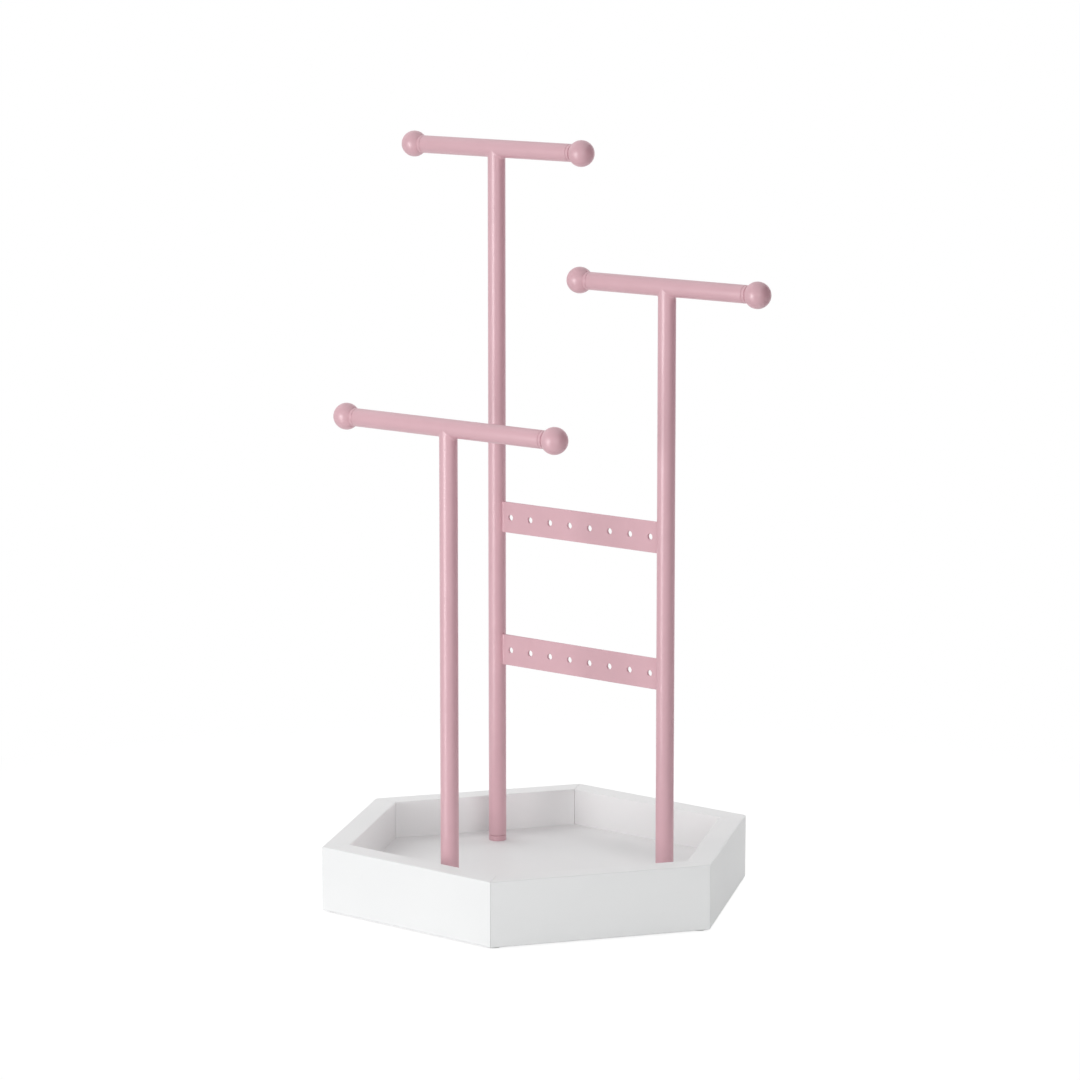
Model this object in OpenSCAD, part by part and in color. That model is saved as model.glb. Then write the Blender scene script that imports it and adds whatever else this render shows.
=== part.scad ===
// Three-tier T-bar jewelry stand on a six-sided wooden tray.
// Three posts stand in an equal-sided triangle, and each carries one straight bar
// with a ball at both ends. Two drilled plates join the two rear posts.
// Millimetres, +Z up, table at z = 0, origin under the middle of the tray.
// The bars, the plates and the tray's front edge run along X, and the front faces -Y.

/* [Tray] */
// Width of the tray from corner to corner
tray_across_corners = 250; // [220:1:300]
// Height of the rim boards
rim_h = 36; // [30:0.5:50]
// Thickness of the rim boards
rim_t = 14; // [10:0.5:18]
// Depth of the tray, from the rim down to the floor
tray_depth = 21; // [12:0.5:24]
// Rounding along the long edges of the rim boards
board_edge_r = 0.8; // [0.3:0.1:2]
// Glue line between two boards at a mitred corner
mitre_gap = 0.1; // [0.05:0.05:0.3]

/* [Floor panel] */
// Thickness of the floor panel
panel_t = 9; // [6:0.5:10]
// Depth of the groove that holds the edge of the panel
groove_depth = 5; // [3:0.5:7]
// Room left past the edge of the panel in its groove
groove_room = 0.3; // [0.1:0.1:1]

/* [Foot pads] */
// Diameter of the self-adhesive pads under the corners
pad_d = 8; // [6:0.5:12]
// Thickness of the pads
pad_t = 1; // [0.5:0.1:3]

/* [Posts and tube] */
// Distance between any two of the three posts
post_spacing = 125; // [100:1:140]
// Outer diameter of the tube in the posts and bars
tube_d = 10; // [8:0.25:12]
// Wall of the tube
tube_wall = 1; // [0.7:0.1:1.5]
// Small bevel at each tube end, seen as a fine line at every joint
end_bevel = 0.25; // [0.1:0.05:0.5]
// Radius of the weld where a post meets its bar
weld_r = 1.6; // [0.8:0.1:2.5]

/* [Bars] */
// Height of the tall bar's axis over the table
tall_bar_z = 413; // [380:1:460]
// Height of the medium bar's axis over the table
medium_bar_z = 343; // [300:1:370]
// Height of the short bar's axis over the table
short_bar_z = 271; // [200:1:290]
// Distance between the ball centres on the tall bar
tall_bar_len = 126; // [100:1:180]
// Distance between the ball centres on the medium bar
medium_bar_len = 126; // [100:1:180]
// Distance between the ball centres on the short bar
short_bar_len = 152; // [100:1:180]

/* [Balls] */
// Diameter of the end balls
ball_d = 14.8; // [13.5:0.1:20]
// Distance from a ball's centre to the end of the tube
ball_reach = 8; // [7.5:0.25:12]
// Length of the peg that goes into the tube
peg_len = 10; // [6:0.5:16]
// Room between the peg and the inside of the tube, on the radius
peg_room = 0.05; // [0.02:0.01:0.2]

/* [Earring plates] */
// Height of the upper plate's middle over the table
upper_plate_z = 204.5; // [170:0.5:250]
// Height of the lower plate's middle over the table
lower_plate_z = 128; // [70:0.5:150]
// Height of a plate from its lower to its upper edge
plate_h = 17.5; // [10:0.5:25]
// Thickness of a plate
plate_t = 1.5; // [1:0.1:3]
// Number of holes in a plate
plate_holes = 8; // [4:1:10]
// Diameter of the holes for ear wires
hole_d = 3.5; // [1.5:0.1:4]
// Distance from the tube to the middle of the first hole
hole_margin = 5.9; // [4:0.1:15]

/* [Post feet] */
// Height of the visible collar at the bottom of a post
collar_h = 3; // [1.5:0.5:8]
// Length of the threaded plug inside the tube
plug_len = 16; // [14:0.5:30]
// Depth of the threaded hole, from the bottom of the collar
thread_depth = 17; // [15.5:0.5:17.5]

/* [Base screws] */
// Thread diameter of the screws
screw_d = 5; // [4:0.5:5.5]
// Length of a screw under its head
screw_len = 25; // [22:0.5:26]
// Diameter of the button head
head_d = 9.5; // [7:0.1:12]
// Height of the button head
head_h = 2.75; // [2:0.05:3.5]
// Width of the hexagon socket across its flats
socket_w = 3; // [2:0.5:4]
// Depth of the hexagon socket
socket_depth = 1.5; // [1:0.1:1.8]
// Diameter of the washers
washer_d = 15; // [11:0.5:24]
// Thickness of the washers
washer_t = 1.2; // [0.8:0.1:2]
// Room round the screw in the floor panel and the washer, on the radius
screw_room = 0.3; // [0.2:0.05:0.8]
// Room round the screw in the plug's thread, on the radius
thread_room = 0.05; // [0.02:0.01:0.1]

/* [Hidden] */

$fn = 64;
eps = 0.01;
white_paint = [0.93, 0.93, 0.93];
pink_paint = [0.77, 0.56, 0.61];

// The tray is a regular hexagon with two corners on the X axis.
tray_sides = 6;
half_turn = 180 / tray_sides;
tray_r = tray_across_corners / 2;
tray_apothem = tray_r * cos(half_turn);
inner_apothem = tray_apothem - rim_t;
side_angles = [for (i = [0 : tray_sides - 1]) i * 2 * half_turn - 90];

rim_top = pad_t + rim_h;
floor_z = rim_top - tray_depth;
panel_z = floor_z - panel_t;
panel_apothem = inner_apothem + groove_depth - groove_room;
// A pad sits halfway across the rim, on the line through its corner.
pad_ring_r = (tray_apothem - rim_t / 2) / cos(half_turn);

post_ring_r = post_spacing / sqrt(3);
post_row_y = post_ring_r / 2;
tall_at = [-post_spacing / 2, post_row_y];
medium_at = [post_spacing / 2, post_row_y];
short_at = [0, -post_ring_r];
post_places = [tall_at, medium_at, short_at];

tube_r = tube_d / 2;
bore_r = tube_r - tube_wall;
post_z = floor_z + collar_h;
// The saddle cut stops short of the bar's widest line, where it would turn to a knife edge.
saddle_stop = 0.3 * tube_r;

// The weld runs along the two crotches of the tee and fades out at the sides.
weld_sweep = 72;
weld_steps = 16;
weld_facets = 3;
weld_sink = 0.5;
weld_overlap = 0.3;

washer_z = panel_z - washer_t;
hole_pitch = (post_spacing - tube_d - 2 * hole_margin) / (plate_holes - 1);

// A hollow round tube along Z with a bevel on its two outer edges.
module tube(length) {
    rotate_extrude()
        polygon([
            [bore_r, 0], [tube_r - end_bevel, 0], [tube_r, end_bevel],
            [tube_r, length - end_bevel], [tube_r - end_bevel, length], [bore_r, length]
        ]);
}

// Cross-section of a rim board: x across its thickness, y up, inner face on the left.
module board_section() {
    difference() {
        union() {
            translate([0, board_edge_r]) square([rim_t, rim_h - 2 * board_edge_r]);
            translate([board_edge_r, 0]) square([rim_t - 2 * board_edge_r, rim_h]);
            for (x = [board_edge_r, rim_t - board_edge_r], y = [board_edge_r, rim_h - board_edge_r])
                translate([x, y]) circle(r = board_edge_r);
        }
        translate([-eps, panel_z - pad_t]) square([groove_depth + eps, panel_t]);
    }
}

// One board of the rim, mitred at both ends, with its outer face square to the given angle.
module rim_board(side) {
    wedge = tray_r + rim_t;
    color(white_paint)
        rotate([0, 0, side_angles[side]])
            intersection() {
                translate([inner_apothem, 0, pad_t])
                    rotate([90, 0, 0])
                        linear_extrude(height = 2 * tray_r, center = true) board_section();
                translate([mitre_gap, 0, 0])
                    linear_extrude(height = rim_top + pad_t)
                        polygon([
                            [0, 0],
                            [wedge, -wedge * tan(half_turn)],
                            [wedge, wedge * tan(half_turn)]
                        ]);
            }
}

// The floor, held in the grooves of all six boards, with one hole under each post.
module floor_panel() {
    color(white_paint)
        translate([0, 0, panel_z])
            difference() {
                linear_extrude(height = panel_t)
                    circle(r = panel_apothem / cos(half_turn), $fn = tray_sides);
                for (p = post_places)
                    translate([p[0], p[1], -eps])
                        cylinder(r = screw_d / 2 + screw_room, h = panel_t + 2 * eps);
            }
}

// Six thin pads that keep the wood off the table.
module foot_pads() {
    color([0.85, 0.85, 0.83])
        for (a = side_angles)
            rotate([0, 0, a + half_turn])
                translate([pad_ring_r, 0, 0])
                    cylinder(d = pad_d, h = pad_t);
}

// Cross-section of the weld at one angle round the post: a hollow curve that touches the
// post below the bar and the bar beside the post, carried on a little into both.
// The tubes have one diameter, so the curve's centre follows a slanted ellipse.
function weld_curve_point(t, k) =
    let (
        reach = tube_r + weld_r,
        centre = [reach * cos(t), reach * sin(t), -reach * cos(t)],
        on_post = [tube_r * cos(t), tube_r * sin(t), -reach * cos(t)],
        on_bar = [reach * cos(t), tube_r * sin(t), -tube_r * cos(t)],
        a = (on_post - centre) / weld_r,
        b = (on_bar - centre) / weld_r,
        arc = acos(a * b),
        along = arc * k / weld_facets
    )
    centre + weld_r * (a * sin(arc - along) + b * sin(along)) / sin(arc);

function weld_section(t) =
    let (
        inner = tube_r - weld_sink,
        first = weld_curve_point(t, 0),
        last = weld_curve_point(t, weld_facets),
        lead_in = first + weld_overlap * (first - weld_curve_point(t, 1)),
        lead_out = last + weld_overlap * (last - weld_curve_point(t, weld_facets - 1))
    )
    concat(
        [lead_in],
        [for (k = [1 : weld_facets - 1]) weld_curve_point(t, k)],
        [lead_out, [inner * cos(t), inner * sin(t), -inner * cos(t)]]
    );

// One crotch of the tee, on the +X side, with the tee's centre at the origin.
module weld() {
    per_ring = weld_facets + 2;
    points = [
        for (i = [0 : weld_steps])
            for (p = weld_section(weld_sweep * (2 * i / weld_steps - 1))) p
    ];
    sides = [
        for (i = [0 : weld_steps - 1], k = [0 : per_ring - 1])
            let (a = i * per_ring + k, b = i * per_ring + (k + 1) % per_ring)
            for (face = [[a, b, b + per_ring], [a, b + per_ring, a + per_ring]]) face
    ];
    last_ring = weld_steps * per_ring;
    caps = [
        [for (k = [0 : per_ring - 1]) per_ring - 1 - k],
        [for (k = [0 : per_ring - 1]) last_ring + k]
    ];
    polyhedron(points = points, faces = concat(sides, caps));
}

// A post with its top cut to a saddle that fits the underside of its bar.
module post(at, bar_z) {
    color(pink_paint)
        translate([at[0], at[1], 0])
            difference() {
                union() {
                    translate([0, 0, post_z]) cylinder(r = tube_r, h = bar_z - saddle_stop - post_z);
                    for (side = [0, 1])
                        translate([0, 0, bar_z]) rotate([0, 0, 180 * side]) weld();
                }
                translate([0, 0, post_z - eps]) cylinder(r = bore_r, h = bar_z - post_z);
                translate([0, 0, bar_z])
                    rotate([0, 90, 0]) cylinder(r = tube_r, h = 4 * tube_d, center = true);
            }
}

// The threaded plug at the foot of a post. Its collar shows between the tube and the floor.
module post_foot(at) {
    thread_r = screw_d / 2 + thread_room;
    color(pink_paint)
        translate([at[0], at[1], floor_z])
            rotate_extrude()
                polygon([
                    [thread_r, 0], [tube_r, 0], [tube_r, collar_h - end_bevel],
                    [tube_r - end_bevel, collar_h], [bore_r - peg_room, collar_h],
                    [bore_r - peg_room, collar_h + plug_len], [0, collar_h + plug_len],
                    [0, thread_depth + thread_r / 2], [thread_r, thread_depth]
                ]);
}

// Washers between the screw heads and the underside of the floor panel.
module base_washers() {
    color([0.75, 0.75, 0.76])
        for (p = post_places)
            translate([p[0], p[1], washer_z])
                difference() {
                    cylinder(d = washer_d, h = washer_t);
                    translate([0, 0, -eps])
                        cylinder(r = screw_d / 2 + screw_room, h = washer_t + 2 * eps);
                }
}

// Button-head screws that come up through the floor panel into the post feet.
module base_screws() {
    dome_r = (pow(head_d / 2, 2) + pow(head_h, 2)) / (2 * head_h);
    color([0.6, 0.6, 0.62])
        for (p = post_places)
            translate([p[0], p[1], washer_z])
                difference() {
                    union() {
                        cylinder(d = screw_d, h = screw_len);
                        intersection() {
                            translate([0, 0, -head_h]) cylinder(d = head_d, h = head_h);
                            translate([0, 0, dome_r - head_h]) sphere(r = dome_r);
                        }
                    }
                    translate([0, 0, -head_h - eps])
                        cylinder(d = socket_w / cos(30), h = socket_depth + eps, $fn = 6);
                }
}

// A straight bar, lying along X with its middle over its post.
module bar(at, z, length) {
    tube_len = length - 2 * ball_reach;
    color(pink_paint)
        translate([at[0] - tube_len / 2, at[1], z])
            rotate([0, 90, 0]) tube(tube_len);
}

// A ball with a neck as thick as the bar, and a peg that goes into the tube.
// side is -1 for the left end of the bar and 1 for the right end.
module end_ball(at, z, length, side) {
    color(pink_paint)
        translate([at[0] + side * length / 2, at[1], z])
            rotate([0, -90 * side, 0]) {
                sphere(d = ball_d);
                cylinder(r = tube_r, h = ball_reach - end_bevel);
                translate([0, 0, ball_reach - end_bevel])
                    cylinder(r1 = tube_r, r2 = tube_r - end_bevel, h = end_bevel);
                cylinder(r = bore_r - peg_room, h = ball_reach + peg_len);
            }
}

// A drilled plate between the rear posts, its ends cut hollow to fit the round tubes.
module earring_plate(z) {
    color(pink_paint)
        translate([0, post_row_y, z])
            difference() {
                cube([post_spacing, plate_t, plate_h], center = true);
                for (side = [-1, 1])
                    translate([side * post_spacing / 2, 0, 0])
                        cylinder(r = tube_r, h = plate_h + 2, center = true);
                for (i = [0 : plate_holes - 1])
                    translate([(i - (plate_holes - 1) / 2) * hole_pitch, 0, 0])
                        rotate([90, 0, 0])
                            cylinder(d = hole_d, h = plate_t + 2, center = true);
            }
}

rim_board(0);  // rim_board_front
rim_board(1);  // rim_board_front_right
rim_board(2);  // rim_board_rear_right
rim_board(3);  // rim_board_rear
rim_board(4);  // rim_board_rear_left
rim_board(5);  // rim_board_front_left
floor_panel();
foot_pads();
post(tall_at, tall_bar_z);  // tall_post
post(medium_at, medium_bar_z);  // medium_post
post(short_at, short_bar_z);  // short_post
post_foot(tall_at);  // tall_post_foot
post_foot(medium_at);  // medium_post_foot
post_foot(short_at);  // short_post_foot
base_washers();
base_screws();
bar(tall_at, tall_bar_z, tall_bar_len);  // tall_bar
bar(medium_at, medium_bar_z, medium_bar_len);  // medium_bar
bar(short_at, short_bar_z, short_bar_len);  // short_bar
end_ball(tall_at, tall_bar_z, tall_bar_len, -1);  // tall_bar_left_ball
end_ball(tall_at, tall_bar_z, tall_bar_len, 1);  // tall_bar_right_ball
end_ball(medium_at, medium_bar_z, medium_bar_len, -1);  // medium_bar_left_ball
end_ball(medium_at, medium_bar_z, medium_bar_len, 1);  // medium_bar_right_ball
end_ball(short_at, short_bar_z, short_bar_len, -1);  // short_bar_left_ball
end_ball(short_at, short_bar_z, short_bar_len, 1);  // short_bar_right_ball
earring_plate(upper_plate_z);  // upper_earring_plate
earring_plate(lower_plate_z);  // lower_earring_plate
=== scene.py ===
"""Looks of the jewelry stand: powder-coated steel tube and sheet on a white lacquered wooden tray.

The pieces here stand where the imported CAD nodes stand, and add what the solids leave out: rolling
welds at the tees, coat built up in the corners, softened edges and hairline joints. Units are
metres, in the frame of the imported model. Sizes written with MM are in millimetres.
"""
import math

import bmesh
import bpy
from mathutils import Euler, Matrix, Vector

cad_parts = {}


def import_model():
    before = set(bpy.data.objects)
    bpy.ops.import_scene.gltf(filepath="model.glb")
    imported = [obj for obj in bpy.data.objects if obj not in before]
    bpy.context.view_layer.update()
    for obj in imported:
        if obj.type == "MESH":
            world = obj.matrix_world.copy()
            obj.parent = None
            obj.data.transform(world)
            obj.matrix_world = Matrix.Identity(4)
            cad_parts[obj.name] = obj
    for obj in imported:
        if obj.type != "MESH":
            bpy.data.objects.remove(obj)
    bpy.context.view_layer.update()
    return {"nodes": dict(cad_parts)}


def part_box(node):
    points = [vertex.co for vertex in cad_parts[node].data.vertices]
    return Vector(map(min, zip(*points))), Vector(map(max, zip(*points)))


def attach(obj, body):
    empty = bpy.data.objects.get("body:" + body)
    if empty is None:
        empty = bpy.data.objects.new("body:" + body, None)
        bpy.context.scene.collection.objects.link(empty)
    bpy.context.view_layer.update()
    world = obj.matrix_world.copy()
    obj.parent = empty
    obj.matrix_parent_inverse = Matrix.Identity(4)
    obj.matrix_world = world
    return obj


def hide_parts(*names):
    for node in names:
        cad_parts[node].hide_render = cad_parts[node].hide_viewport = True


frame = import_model()

MM = 0.001

# Tubes and their welds. A weld or seam sinks a little into its tube, so that no crack shows.
WALL = 1.0 * MM
TUBE_END_RADIUS = 0.32 * MM
BORE_EDGE = 0.1 * MM
WELD_RADIUS = 1.6 * MM
SINK = 0.03 * MM

# The fine turned groove before a ball's neck, and the fit of the neck and the peg in the tube.
QUIRK_DEPTH = 0.35 * MM
QUIRK_WIDTH = 0.15 * MM
QUIRK_EDGE = 0.12 * MM
JOINT_GAP = 0.12 * MM
PEG_ROOM = 0.05 * MM

# The threaded plugs at the feet of the posts, with their collars.
COLLAR_HEIGHT = 3.0 * MM
COLLAR_TOP_EDGE = 0.35 * MM
COLLAR_FOOT_EDGE = 0.1 * MM
PLUG_EDGE = 0.5 * MM
THREAD_RADIUS = 2.55 * MM
THREAD_DEPTH = 17.0 * MM

# The earring plates. The margin is from a post's surface to the middle of the first hole.
HOLE_COUNT = 8
HOLE_RADIUS = 1.75 * MM
HOLE_MARGIN = 5.9 * MM
HOLE_EDGE = 0.15 * MM
SHEET_EDGE = 0.35 * MM
SEAM_RADIUS = 0.7 * MM
SEAM_ROOM = 0.3 * MM

# The boards of the rim, in the order in which they follow each other, with angles in degrees.
SIDES = ("front", "front_right", "rear_right", "rear", "rear_left", "front_left")
FRONT_TURN, SIDE_TURN = -90, 60
BOARD_THICKNESS = 14.0 * MM
BOARD_EDGE = 0.8 * MM
GROOVE_DEPTH = 5.0 * MM
MITRE_ANGLE = math.pi / 6
MITRE_GAP = 0.1 * MM
MITRE_EDGE = 0.22 * MM

# How finely round shapes are cut.
ROUND_STEPS = 96
ARC_STEPS = 6
WELD_STEPS = 12
BALL_STEPS = 48
HOLE_STEPS = 48
BOARD_EDGE_STEPS = 8
MITRE_STEPS = 3
ROUND_ANGLES = [2 * math.pi * k / ROUND_STEPS for k in range(ROUND_STEPS)]
QUARTER_ARC = [math.pi / 2 * i / ARC_STEPS for i in range(ARC_STEPS + 1)]

SAME_POINT = 1e-6
SAME_ANGLE = 1e-4
SHARP_ANGLE = math.radians(35)


def add_object(name, data):
    """An object of the scene that shows the data."""
    made = bpy.data.objects.new(name, data)
    bpy.context.scene.collection.objects.link(made)
    return made


def add_piece(name, points, faces, node, slot, weighted=False):
    """A mesh in the model's frame that rides on the root body and stands for one CAD node."""
    mesh = bpy.data.meshes.new(name)
    mesh.from_pydata([tuple(point) for point in points], [], faces)
    work = bmesh.new()
    work.from_mesh(mesh)
    bmesh.ops.remove_doubles(work, verts=work.verts, dist=SAME_POINT)
    loose = [edge for edge in work.edges if not edge.link_faces]
    bmesh.ops.delete(work, geom=loose, context="EDGES")
    bmesh.ops.recalc_face_normals(work, faces=work.faces)
    work.to_mesh(mesh)
    work.free()
    mesh.shade_smooth()
    mesh.set_sharp_from_angle(angle=SHARP_ANGLE)
    mesh.materials.append(MATERIALS[slot])
    piece = add_object(name, mesh)
    if weighted:
        normals = piece.modifiers.new("flat faces stay flat", "WEIGHTED_NORMAL")
        normals.keep_sharp = True
    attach(piece, "root")
    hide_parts(node)


def join_rings(rings, closed=False):
    """Points and faces of a skin through rings of equal length, each ring closed on itself.

    Where closed is set, the last ring is joined to the first.
    """
    count = len(rings[0])
    points = [point for ring in rings for point in ring]
    faces = []
    for i in range(len(rings) if closed else len(rings) - 1):
        a, b = i * count, (i + 1) % len(rings) * count
        for k in range(count):
            n = (k + 1) % count
            faces.append((a + k, a + n, b + n, b + k))
    return points, faces


def angle_of(cosine):
    """The angle of a cosine that rounding may have pushed past 1."""
    return math.acos(max(-1.0, min(1.0, cosine)))


def on_arc(start, end, turn, share):
    """The point at a share of the arc from start to end, both seen from its centre."""
    return (start * math.sin((1 - share) * turn) + end * math.sin(share * turn)) / math.sin(turn)


def rounded(corners, steps=ARC_STEPS):
    """A closed outline through corners (x, y, radius), each corner rounded by its radius."""
    outline = []
    for i, (x, y, radius) in enumerate(corners):
        here = Vector((x, y))
        if radius <= 0:
            outline.append(here)
            continue
        back = (Vector(corners[i - 1][:2]) - here).normalized()
        ahead = (Vector(corners[(i + 1) % len(corners)][:2]) - here).normalized()
        half = angle_of(back.dot(ahead)) / 2
        centre = here + (back + ahead).normalized() * radius / math.sin(half)
        reach = radius / math.tan(half)
        start, end = here + back * reach - centre, here + ahead * reach - centre
        turn = angle_of(start.dot(end) / radius ** 2)
        outline += [centre + on_arc(start, end, turn, k / steps) for k in range(steps + 1)]
    return outline


def turned(name, profile, node, place):
    """A lathe piece from a closed outline of (radius, height). place turns +Z to its axis."""
    rings = []
    for radius, height in profile:
        ring = [Vector((radius * math.cos(t), radius * math.sin(t), height)) for t in ROUND_ANGLES]
        rings.append([place @ point for point in ring])
    points, faces = join_rings(rings, closed=True)
    add_piece(name, points, faces, node, "powder_coat")


def along_x(x, axis, sign):
    """Lays a lathe piece on a bar's axis, from x towards +X or -X by the sign."""
    turn = Euler((0, sign * math.pi / 2, 0)).to_matrix().to_4x4()
    return Matrix.Translation((x, axis.y, axis.z)) @ turn


# Materials. Texture coordinates are the object's own, in metres, so the scales are per metre.

COAT_DEEP, COAT_LIGHT = (0.640, 0.362, 0.412), (0.660, 0.378, 0.429)
LACQUER_DEEP, LACQUER_LIGHT = (0.852, 0.852, 0.854), (0.872, 0.872, 0.872)
ZINC_COOL, ZINC_WARM = (0.60, 0.61, 0.63), (0.68, 0.68, 0.67)
FOAM_DEEP, FOAM_LIGHT = (0.66, 0.66, 0.64), (0.76, 0.76, 0.74)
WHITE = (1, 1, 1)

# Most of a noise texture lies between these values.
NOISE_LOW, NOISE_HIGH = 0.3, 0.7


def new_material(name):
    """A material, its node tree and its main shader."""
    material = bpy.data.materials.new(name)
    material.use_nodes = True
    tree = material.node_tree
    return material, tree, tree.nodes["Principled BSDF"]


def set_inputs(node, values):
    """Sets a node's own sockets by name. A colour of three numbers gets its fourth."""
    for socket, value in values.items():
        if node.inputs[socket].type == "RGBA":
            value = (*value, 1)
        node.inputs[socket].default_value = value


def add_node(tree, kind, values=None):
    """A shader node of one kind, with its own sockets set by name."""
    made = tree.nodes.new(f"ShaderNode{kind}")
    set_inputs(made, values or {})
    return made


def object_place(tree):
    """Texture coordinates in the object's own metres."""
    return add_node(tree, "TexCoord").outputs["Object"]


def noise(tree, scale, detail, roughness=0.5, stretch=None):
    """A noise texture. stretch squeezes the pattern along the three axes."""
    place = object_place(tree)
    if stretch:
        mapping = add_node(tree, "Mapping", {"Scale": stretch})
        tree.links.new(place, mapping.inputs["Vector"])
        place = mapping.outputs["Vector"]
    values = {"Scale": scale, "Detail": detail, "Roughness": roughness}
    texture = add_node(tree, "TexNoise", values)
    tree.links.new(place, texture.inputs["Vector"])
    return texture.outputs["Fac"]


def spread(tree, source, low=0, high=1):
    """Maps the middle of a texture's range to low..high."""
    ramp = add_node(tree, "MapRange", {
        "From Min": NOISE_LOW, "From Max": NOISE_HIGH, "To Min": low, "To Max": high,
    })
    tree.links.new(source, ramp.inputs["Value"])
    return ramp.outputs["Result"]


def tint(tree, source, first, second):
    """Blends two colours by a texture."""
    blend = add_node(tree, "Mix")
    blend.data_type = "RGBA"
    set_inputs(blend, {"A": first, "B": second})
    tree.links.new(source, blend.inputs["Factor"])
    return blend.outputs["Result"]


def bump(tree, source, depth, under=None):
    """A bump of the given depth in metres, on top of another bump if one is given."""
    relief = add_node(tree, "Bump", {"Strength": 1.0, "Distance": depth})
    tree.links.new(source, relief.inputs["Height"])
    if under:
        tree.links.new(under, relief.inputs["Normal"])
    return relief.outputs["Normal"]


def dress(tree, shader, colour, roughness, relief):
    """Gives a shader its textures."""
    tree.links.new(colour, shader.inputs["Base Color"])
    tree.links.new(roughness, shader.inputs["Roughness"])
    tree.links.new(relief, shader.inputs["Normal"])


def powder_coat():
    """Dusty pink powder coat: low sheen, with the fine orange peel of a baked coat."""
    material, tree, shader = new_material("powder_coat_pink")
    colour = tint(tree, spread(tree, noise(tree, scale=60, detail=3)), COAT_DEEP, COAT_LIGHT)
    sheen = spread(tree, noise(tree, scale=700, detail=2), low=0.35, high=0.40)
    peel = bump(tree, noise(tree, scale=420, detail=1), depth=0.02 * MM)
    grain = bump(tree, noise(tree, scale=1500, detail=2), depth=0.006 * MM, under=peel)
    dress(tree, shader, colour, sheen, grain)
    set_inputs(shader, {"Specular IOR Level": 1.0, "IOR": 1.6})
    return material


def lacquered_wood():
    """White sprayed lacquer on fibreboard: satin, with a faint spray texture and soft mottling."""
    material, tree, shader = new_material("painted_wood_white")
    cloud = spread(tree, noise(tree, scale=14, detail=4))
    colour = tint(tree, cloud, LACQUER_DEEP, LACQUER_LIGHT)
    sheen = spread(tree, noise(tree, scale=300, detail=3), low=0.46, high=0.6)
    spray = bump(tree, noise(tree, scale=650, detail=3, roughness=0.6), depth=0.018 * MM)
    sag = bump(tree, noise(tree, scale=55, detail=1), depth=0.05 * MM, under=spray)
    dress(tree, shader, colour, sheen, sag)
    set_inputs(shader, {"Specular IOR Level": 0.3})
    return material


def zinc_plate():
    """Zinc plate on small hardware: bright, a little cloudy, with fine drawing marks."""
    material, tree, shader = new_material("zinc_steel_plated")
    colour = tint(tree, spread(tree, noise(tree, scale=450, detail=4)), ZINC_COOL, ZINC_WARM)
    sheen = spread(tree, noise(tree, scale=1600, detail=3), low=0.28, high=0.45)
    marks = bump(tree, noise(tree, scale=900, detail=2, stretch=(1, 6, 1)), depth=0.01 * MM)
    dress(tree, shader, colour, sheen, marks)
    set_inputs(shader, {"Metallic": 1.0})
    return material


def foam():
    """Matt closed-cell foam of the pads."""
    material, tree, shader = new_material("pad_foam_pale")
    cells = add_node(tree, "TexVoronoi", {"Scale": 1800})
    tree.links.new(object_place(tree), cells.inputs["Vector"])
    colour = tint(tree, cells.outputs["Distance"], FOAM_DEEP, FOAM_LIGHT)
    sheen = spread(tree, noise(tree, scale=1200, detail=2), low=0.85, high=0.97)
    dress(tree, shader, colour, sheen, bump(tree, cells.outputs["Distance"], depth=0.12 * MM))
    return material


MATERIALS = {
    "powder_coat": powder_coat(),
    "painted_wood": lacquered_wood(),
    "zinc_steel": zinc_plate(),
    "pad_foam": foam(),
}
for cad_node in frame["nodes"].values():
    for slot in cad_node.material_slots:
        slot.material = MATERIALS[slot.material.name]


# The pieces. Where they stand is read from the boxes of the CAD nodes.

def middle(node):
    """The middle of a node's box."""
    low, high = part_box(node)
    return (low + high) / 2


bar_low, bar_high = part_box("tall_bar")
TUBE_RADIUS = (bar_high.z - bar_low.z) / 2
BORE_RADIUS = TUBE_RADIUS - WALL
PEG_RADIUS = BORE_RADIUS - PEG_ROOM


def post(tier):
    """A post tube, its top cut to the bar, with a rolling weld in both crotches of the tee.

    The tube is a round of columns. Each goes up the bore to the bar, over the weld and down the
    outside. Their points are seen from the middle of the tee.
    """
    axis, bar_z = middle(f"{tier}_post_foot"), middle(f"{tier}_bar").z
    tee = Vector((axis.x, axis.y, bar_z))
    foot_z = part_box(f"{tier}_post")[0].z - bar_z
    r, w, b, e = TUBE_RADIUS, WELD_RADIUS, BORE_RADIUS, TUBE_END_RADIUS
    sunk = (r - SINK) / r
    columns = []
    for t in ROUND_ANGLES:
        side = 1 if math.cos(t) >= 0 else -1
        c, s = abs(math.cos(t)), math.sin(t)

        # The middle of a ball that rolls along both tubes, and the points where it touches them.
        centre = Vector((side * (r + w) * c, (r + w) * s, -(r + w) * c))
        on_bar = Vector((side * (r + w) * c, r * s, -r * c))
        on_post = Vector((side * r * c, r * s, -(r + w) * c))
        column = [
            Vector((side * b * c, b * s, foot_z)),
            Vector((side * b * c, b * s, -math.sqrt(r * r - b * b * s * s) * sunk)),
            Vector((on_bar.x, on_bar.y * sunk, on_bar.z * sunk)),
        ]
        start, end = on_bar - centre, on_post - centre
        turn = start.angle(end, 0.0)
        for i in range(WELD_STEPS + 1):
            share = i / WELD_STEPS
            if turn < SAME_ANGLE:
                column.append(on_bar.lerp(on_post, share))
            else:
                column.append(centre + on_arc(start, end, turn, share))
        for a in QUARTER_ARC:
            radius, z = r - e + e * math.cos(a), foot_z + e - e * math.sin(a)
            column.append(Vector((side * radius * c, radius * s, z)))
        columns.append([point + tee for point in column])
    points, faces = join_rings(columns, closed=True)
    add_piece(f"{tier}_post_tube", points, faces, f"{tier}_post", "powder_coat")


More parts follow.
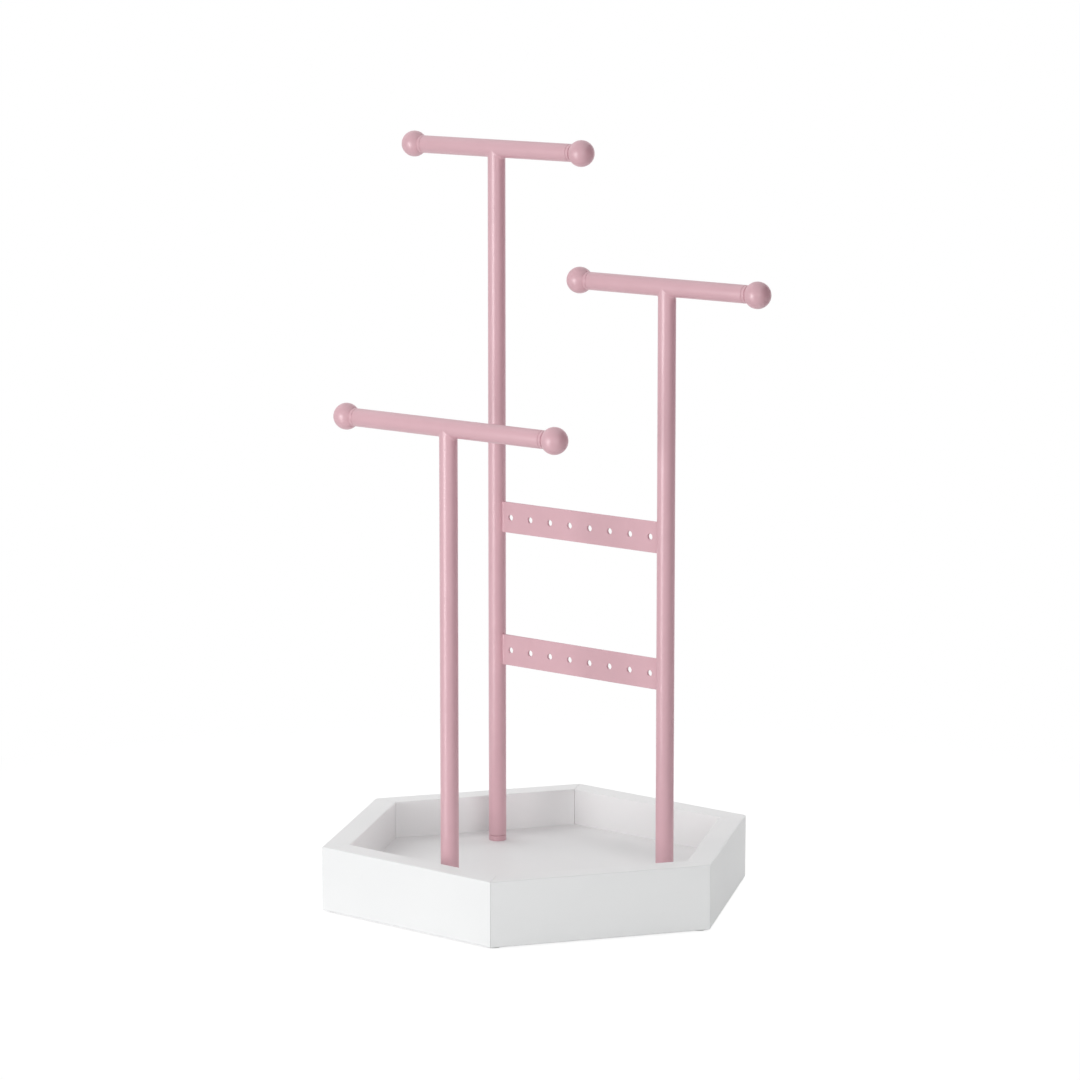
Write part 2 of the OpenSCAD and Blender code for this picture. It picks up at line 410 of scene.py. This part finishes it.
def foot(tier):
    """The threaded plug with its collar, which shows as a ring under the tube."""
    node = f"{tier}_post_foot"
    low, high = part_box(node)
    axis, height, collar_top = middle(node), high.z - low.z, COLLAR_HEIGHT - JOINT_GAP
    profile = rounded([
        (THREAD_RADIUS, 0, 0), (TUBE_RADIUS, 0, COLLAR_FOOT_EDGE),
        (TUBE_RADIUS, collar_top, COLLAR_TOP_EDGE), (PEG_RADIUS, collar_top, 0),
        (PEG_RADIUS, height, PLUG_EDGE), (0, height, 0),
        (0, THREAD_DEPTH + THREAD_RADIUS / 2, 0), (THREAD_RADIUS, THREAD_DEPTH, 0),
    ])
    place = Matrix.Translation((axis.x, axis.y, low.z))
    turned(f"{tier}_post_collar", profile, node, place)


def bar(tier):
    """A bar tube with softened ends."""
    node = f"{tier}_bar"
    low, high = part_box(node)
    length = high.x - low.x
    profile = rounded([
        (BORE_RADIUS, 0, BORE_EDGE), (TUBE_RADIUS, 0, TUBE_END_RADIUS),
        (TUBE_RADIUS, length, TUBE_END_RADIUS), (BORE_RADIUS, length, BORE_EDGE),
    ])
    turned(f"{tier}_bar_tube", profile, node, along_x(low.x, middle(node), 1))


def ball(tier, side):
    """An end ball with a fine turned groove before its neck, and the peg that goes into the tube.

    Its profile starts at the outer pole. Heights are from the ball's centre, towards the tube.
    """
    node = f"{tier}_bar_{side}_ball"
    low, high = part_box(node)
    tube_low, tube_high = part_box(f"{tier}_bar")
    radius = (high.z - low.z) / 2
    if side == "left":
        sign, centre_x = 1, low.x + radius
        neck_end, peg_end = tube_low.x - centre_x - JOINT_GAP, high.x - centre_x
    else:
        sign, centre_x = -1, high.x - radius
        neck_end, peg_end = centre_x - tube_high.x - JOINT_GAP, centre_x - low.x
    r, e, q = TUBE_RADIUS, TUBE_END_RADIUS, QUIRK_EDGE
    quirk = r - QUIRK_DEPTH
    quirk_start = math.sqrt(radius ** 2 - quirk ** 2)
    quirk_end = quirk_start + QUIRK_WIDTH
    last = math.atan2(quirk, -quirk_start)
    angles = [last * i / BALL_STEPS for i in range(BALL_STEPS + 1)]
    profile = [(radius * math.sin(a), -radius * math.cos(a)) for a in angles]
    profile += [(quirk, quirk_end)]
    profile += [(r - q + q * math.sin(a), quirk_end + q - q * math.cos(a)) for a in QUARTER_ARC]
    profile += [(r - e + e * math.cos(a), neck_end - e + e * math.sin(a)) for a in QUARTER_ARC]
    profile += [(PEG_RADIUS, neck_end), (PEG_RADIUS, peg_end - e)]
    profile += [(PEG_RADIUS - e, peg_end), (0, peg_end)]
    turned(f"{tier}_bar_{side}_knob", profile, node, along_x(centre_x, middle(node), sign))


def drill(points, faces, centre, half, front, back):
    """Adds a hole with rolled edges, and joins it to four corners on the sheet's front and back.

    The corners are numbers of points: upper right, upper left, lower left and lower right. A ring
    of the hole starts at its upper right too, so a quarter of it faces each side.
    """
    rings = []
    for side in (-1, 1):
        for a in (QUARTER_ARC if side < 0 else reversed(QUARTER_ARC)):
            radius = HOLE_RADIUS + HOLE_EDGE - HOLE_EDGE * math.sin(a)
            y = half - HOLE_EDGE + HOLE_EDGE * math.cos(a)
            ring = []
            for h in range(HOLE_STEPS):
                t = 2 * math.pi * h / HOLE_STEPS + math.pi / 4
                spoke = Vector((radius * math.cos(t), side * y, radius * math.sin(t)))
                ring.append(len(points))
                points.append(centre + spoke)
            rings.append(ring)
    for ring, following in zip(rings, rings[1:]):
        for h in range(HOLE_STEPS):
            n = (h + 1) % HOLE_STEPS
            faces.append((ring[h], ring[n], following[n], following[h]))
    quarter = HOLE_STEPS // 4
    for ring, corners in ((rings[0], front), (rings[-1], back)):
        for q in range(4):
            inner = [ring[(q * quarter + h) % HOLE_STEPS] for h in range(quarter + 1)]
            faces.append((corners[q], *inner, corners[(q + 1) % 4]))


def plate(level):
    """A drilled plate with rolled hole edges, and coat built up where it meets the posts."""
    node = f"{level}_earring_plate"
    low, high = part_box(node)
    mid = middle(node)
    left, right = middle("tall_post_foot").x, middle("medium_post_foot").x
    half, top = (high.y - low.y) / 2, (high.z - low.z) / 2
    r, seam, e = TUBE_RADIUS, SEAM_RADIUS, SHEET_EDGE

    # Seen from above, the seam is an arc that touches the round tube and the sheet.
    seam_y = half + seam
    seam_x = math.sqrt((r + seam) ** 2 - seam_y ** 2)
    on_tube, on_sheet = math.atan2(-seam_y, -seam_x), -math.pi / 2
    stations = []
    for i in range(ARC_STEPS + 1):
        a = on_tube + (on_sheet - on_tube) * i / ARC_STEPS
        stations.append((seam_x + seam * math.cos(a), seam_y + seam * math.sin(a)))
    stations.insert(0, tuple(reach * (1 - SINK / r) for reach in stations[0]))

    # The sheet is cut between the holes, each column being an x and half the thickness there.
    pitch = (right - left - 2 * r - 2 * HOLE_MARGIN) / (HOLE_COUNT - 1)
    centres = [left + r + HOLE_MARGIN + i * pitch for i in range(HOLE_COUNT)]
    walls = [centres[0] - pitch / 2] + [x + pitch / 2 for x in centres]
    walls[0] = max(walls[0], left + stations[-1][0] + SEAM_ROOM)
    walls[-1] = min(walls[-1], right - stations[-1][0] - SEAM_ROOM)
    columns = [(left + x, y) for x, y in stations] + [(x, half) for x in walls]
    columns += [(right - x, y) for x, y in reversed(stations)]

    # Each column is a loop around the sheet, from the front's upper edge over the top and the back.
    points, faces, loops = [], [], []
    for x, thick in columns:
        loop = []
        for sy, sz in ((-1, 1), (1, 1), (1, -1), (-1, -1)):
            for a in (QUARTER_ARC if sy * sz < 0 else reversed(QUARTER_ARC)):
                y, z = thick - e + e * math.cos(a), top - e + e * math.sin(a)
                loop.append(len(points))
                points.append(Vector((x, mid.y + sy * y, mid.z + sz * z)))
        loops.append(loop)
    count = len(loops[0])
    front_high, back_high, back_low, front_low = 0, count // 2 - 1, count // 2, count - 1
    first_hole = len(stations)
    drilled = range(first_hole, first_hole + HOLE_COUNT)
    for j, (loop, following) in enumerate(zip(loops, loops[1:])):
        for k in range(count):
            if j in drilled and k in (front_low, back_high):
                continue
            n = (k + 1) % count
            faces.append((loop[k], loop[n], following[n], following[k]))
    faces.append(tuple(loops[0]))
    faces.append(tuple(reversed(loops[-1])))

    for j, x in zip(drilled, centres):
        a, b = loops[j], loops[j + 1]
        front = b[front_high], a[front_high], a[front_low], b[front_low]
        back = b[back_high], a[back_high], a[back_low], b[back_low]
        drill(points, faces, Vector((x, mid.y, mid.z)), half, front, back)
    add_piece(f"{level}_plate_sheet", points, faces, node, "powder_coat", weighted=True)


def board(node, angle):
    """A rim board with softened edges and a hairline at its mitred ends.

    Its cross-section is taken from the front board, as (distance from the tray's middle, height).
    """
    low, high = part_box("rim_board_front")
    panel_low, panel_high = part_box("floor_panel")
    outer = -low.y
    inner = outer - BOARD_THICKNESS
    groove = inner + GROOVE_DEPTH
    e = BOARD_EDGE
    outline = rounded([
        (inner, low.z, e), (outer, low.z, e), (outer, high.z, e), (inner, high.z, e),
        (inner, panel_high.z, 0), (groove, panel_high.z, 0),
        (groove, panel_low.z, 0), (inner, panel_low.z, 0),
    ], steps=BOARD_EDGE_STEPS)
    count = len(outline)
    insets = []
    for i in range(count):
        before, after = outline[i] - outline[i - 1], outline[(i + 1) % count] - outline[i]
        direction = before.normalized() + after.normalized()
        insets.append(Vector((-direction.y, direction.x)).normalized())
    turn = Matrix.Rotation(angle, 4, "Z")
    rings = []
    for end in (-1, 1):
        edge = []
        for k in range(MITRE_STEPS + 1):
            a = math.pi / 2 * k / MITRE_STEPS
            back, inward = MITRE_EDGE * (1 - math.cos(a)), MITRE_EDGE * (1 - math.sin(a))
            ring = []
            for point, inset in zip(outline, insets):
                moved = point + inset * inward
                y = (moved.x - MITRE_GAP) * math.tan(MITRE_ANGLE) - back / math.cos(MITRE_ANGLE)
                ring.append(turn @ Vector((moved.x, end * y, moved.y)))
            edge.append(ring)
        rings += edge if end < 0 else edge[::-1]
    points, faces = join_rings(rings)
    faces.append(tuple(reversed(range(count))))
    faces.append(tuple(range(len(points) - count, len(points))))
    add_piece(f"{node}_lacquered", points, faces, node, "painted_wood", weighted=True)


for tier in ("tall", "medium", "short"):
    post(tier)
    foot(tier)
    bar(tier)
    for side in ("left", "right"):
        ball(tier, side)
for level in ("upper", "lower"):
    plate(level)
for i, side in enumerate(SIDES):
    board(f"rim_board_{side}", math.radians(SIDE_TURN * i + FRONT_TURN))


# Studio: a pale floor that runs out to white, a white world behind it, and soft lamps.

MATT = {"Roughness": 1.0, "Specular IOR Level": 0.0}


def add_stage(name, points, faces, material):
    """A part of the studio, which isn't part of the object."""
    mesh = bpy.data.meshes.new(name)
    mesh.from_pydata(points, [], faces)
    mesh.materials.append(material)
    piece = add_object(name, mesh)
    return piece


def ray_is_seen(tree):
    """1 for rays that show the background: camera, glossy and transmission rays."""
    path = add_node(tree, "LightPath")
    total = path.outputs["Is Camera Ray"]
    for name in ("Is Glossy Ray", "Is Transmission Ray"):
        most = add_node(tree, "Math")
        most.operation = "MAXIMUM"
        tree.links.new(total, most.inputs[0])
        tree.links.new(path.outputs[name], most.inputs[1])
        total = most.outputs[0]
    return total


def mix_shaders(tree, share, first, second):
    """The first shader where share is 0, and the second where it is 1."""
    mix = add_node(tree, "MixShader")
    for k, source in enumerate((share, first, second)):
        tree.links.new(source, mix.inputs[k])
    return mix.outputs[0]


FLOOR_RADIUS = 6.0
FLOOR_RINGS = 12
FLOOR_STEPS = 96

# The floor's colour where light falls on it, near the object and far from it, and the distances
# from the middle between which near fades into far.
FLOOR_NEAR, FLOOR_FAR = (0.92, 0.92, 0.92), (0.75, 0.75, 0.75)
FADE_FROM, FADE_TO = 0.18, 0.5

# What shows of the floor near the object: lit paint, which takes the shadow, and a plain glow.
SHADOW_PAINT = (0.3, 0.3, 0.3)
SHADOW_GLOW = 0.85

# The share of satin that reflections see in the floor, and how rough it is.
SATIN_SHARE = 0.85
SATIN_ROUGHNESS = 0.2


def floor_material():
    """Pale paint for the light that falls on it. To the camera it is lit paint and glow near the
    object, and plain white further out. In reflections it is mostly satin, which mirrors the lamps.
    """
    material, tree, shader = new_material("studio_floor_white")
    length = add_node(tree, "VectorMath")
    length.operation = "LENGTH"
    tree.links.new(object_place(tree), length.inputs[0])
    fade = add_node(tree, "MapRange", {"From Min": FADE_FROM, "From Max": FADE_TO})
    fade.interpolation_type = "SMOOTHSTEP"
    tree.links.new(length.outputs["Value"], fade.inputs["Value"])
    faded = fade.outputs["Result"]
    tree.links.new(tint(tree, faded, FLOOR_NEAR, FLOOR_FAR), shader.inputs["Base Color"])
    set_inputs(shader, MATT)

    paint = add_node(tree, "BsdfDiffuse", {"Color": SHADOW_PAINT})
    glow = add_node(tree, "Emission", {"Strength": SHADOW_GLOW})
    both = add_node(tree, "AddShader")
    tree.links.new(paint.outputs[0], both.inputs[0])
    tree.links.new(glow.outputs[0], both.inputs[1])
    white = add_node(tree, "Emission", {"Strength": 1.0})
    seen = mix_shaders(tree, faded, both.outputs[0], white.outputs[0])

    satin = add_node(tree, "BsdfAnisotropic", {"Color": WHITE, "Roughness": SATIN_ROUGHNESS})
    share = add_node(tree, "Math")
    share.operation = "MULTIPLY"
    share.inputs[1].default_value = SATIN_SHARE
    tree.links.new(add_node(tree, "LightPath").outputs["Is Glossy Ray"], share.inputs[0])
    shown = mix_shaders(tree, share.outputs[0], seen, satin.outputs[0])
    surface = mix_shaders(tree, ray_is_seen(tree), shader.outputs[0], shown)
    tree.links.new(surface, tree.nodes["Material Output"].inputs["Surface"])
    return material


def floor():
    """A round floor, with rings that lie closer together near the object."""
    points = [(0, 0, 0)]
    for i in range(1, FLOOR_RINGS + 1):
        reach = FLOOR_RADIUS * (i / FLOOR_RINGS) ** 2
        for k in range(FLOOR_STEPS):
            t = 2 * math.pi * k / FLOOR_STEPS
            points.append((reach * math.cos(t), reach * math.sin(t), 0))
    faces = [(0, 1 + k, 1 + (k + 1) % FLOOR_STEPS) for k in range(FLOOR_STEPS)]
    for i in range(FLOOR_RINGS - 1):
        a, b = 1 + i * FLOOR_STEPS, 1 + (i + 1) * FLOOR_STEPS
        for k in range(FLOOR_STEPS):
            n = (k + 1) % FLOOR_STEPS
            faces.append((a + k, b + k, b + n, a + n))
    add_stage("studio_floor", points, faces, floor_material())


# The dark panel stands to the right of the object: azimuths from the front towards +X, in degrees.
PANEL_FROM, PANEL_TO = 75, 175
PANEL_REACH = 1.1
PANEL_FOOT, PANEL_TOP = 0.04, 1.5
PANEL_STEPS = 24
PANEL_COLOUR = (0.02, 0.02, 0.02)


def panel():
    """A dark curved panel that takes light away on one side. The camera doesn't see it."""
    points = []
    for k in range(PANEL_STEPS + 1):
        a = math.radians(PANEL_FROM + (PANEL_TO - PANEL_FROM) * k / PANEL_STEPS)
        for z in (PANEL_FOOT, PANEL_TOP):
            points.append((PANEL_REACH * math.sin(a), -PANEL_REACH * math.cos(a), z))
    faces = [(2 * k, 2 * k + 2, 2 * k + 3, 2 * k + 1) for k in range(PANEL_STEPS)]
    material, _, shader = new_material("studio_panel_black")
    set_inputs(shader, {"Base Color": PANEL_COLOUR, **MATT})
    add_stage("studio_panel", points, faces, material).visible_camera = False


# The dome's red is a little low, which takes back the pink that the posts throw on the white tray.
DOME_STRENGTH = 0.572
DOME_COLOUR = (0.98, 1, 1)


def world():
    """A soft grey dome for light, which shows as white."""
    sky = bpy.data.worlds.new("studio_dome")
    bpy.context.scene.world = sky
    sky.use_nodes = True
    tree = sky.node_tree
    dome = tree.nodes["Background"]
    set_inputs(dome, {"Color": DOME_COLOUR, "Strength": DOME_STRENGTH})
    shown = add_node(tree, "Background", {"Color": WHITE, "Strength": 1.0})
    surface = mix_shaders(tree, ray_is_seen(tree), dome.outputs[0], shown.outputs[0])
    tree.links.new(surface, tree.nodes["World Output"].inputs["Surface"])


# Lamps: name, azimuth from the front towards +X, elevation, distance, width, height, watts, and
# whether it shows in reflections. Angles are in degrees.
LAMPS = (
    ("key_far", -10, 4, 3.5, 1.6, 0.8, 18.5, True),
    ("key_strip", -8, 1.7, 1.0, 0.25, 0.44, 1.3, True),
    ("right_front", 60, 12, 2.2, 1.6, 1.2, 12.5, False),
    ("left_high", -90, 45, 2.0, 1.4, 1.4, 9, False),
    ("left_back", -150, 12, 2.2, 1.6, 1.2, 11, False),
    ("back", 165, 10, 1.0, 0.7, 0.6, 3.4, False),
)
LAMP_AIM = Vector((0, 0, 0.2))


def lamps():
    """Soft rectangular lamps that face the object. The camera doesn't see them."""
    for name, azimuth, elevation, distance, width, height, watts, glare in LAMPS:
        light = bpy.data.lights.new(f"lamp_{name}", "AREA")
        light.shape = "RECTANGLE"
        light.size, light.size_y = width, height
        light.energy = watts
        lamp = add_object(f"lamp_{name}", light)
        a, e = math.radians(azimuth), math.radians(elevation)
        towards = Vector((math.sin(a) * math.cos(e), -math.cos(a) * math.cos(e), math.sin(e)))
        lamp.location = LAMP_AIM + towards * distance
        lamp.rotation_mode = "QUATERNION"
        lamp.rotation_quaternion = (-towards).to_track_quat("-Z", "Y")
        lamp.visible_camera = False
        lamp.visible_glossy = glare


# The photograph's viewpoint, solved from the tray's corners, the posts and the balls. The sensor
# and the lens are in millimetres, the angles in degrees.
SENSOR_WIDTH, LENS = 36, 142.18
CLIP_NEAR, CLIP_FAR = 0.05, 50
CAMERA_PLACE = (1.5447, -1.7437, 0.5750)
CAMERA_PITCH, CAMERA_AZIMUTH = 80.89, 41.5


def camera():
    """The camera at the photograph's viewpoint."""
    lens = bpy.data.cameras.new("camera")
    lens.sensor_width, lens.lens = SENSOR_WIDTH, LENS
    lens.clip_start, lens.clip_end = CLIP_NEAR, CLIP_FAR
    eye = add_object("camera", lens)
    eye.location = CAMERA_PLACE
    eye.rotation_euler = (math.radians(CAMERA_PITCH), 0, math.radians(CAMERA_AZIMUTH))
    bpy.context.scene.camera = eye


floor()
panel()
world()
lamps()
camera()
bpy.context.scene.view_settings.view_transform = "Standard"
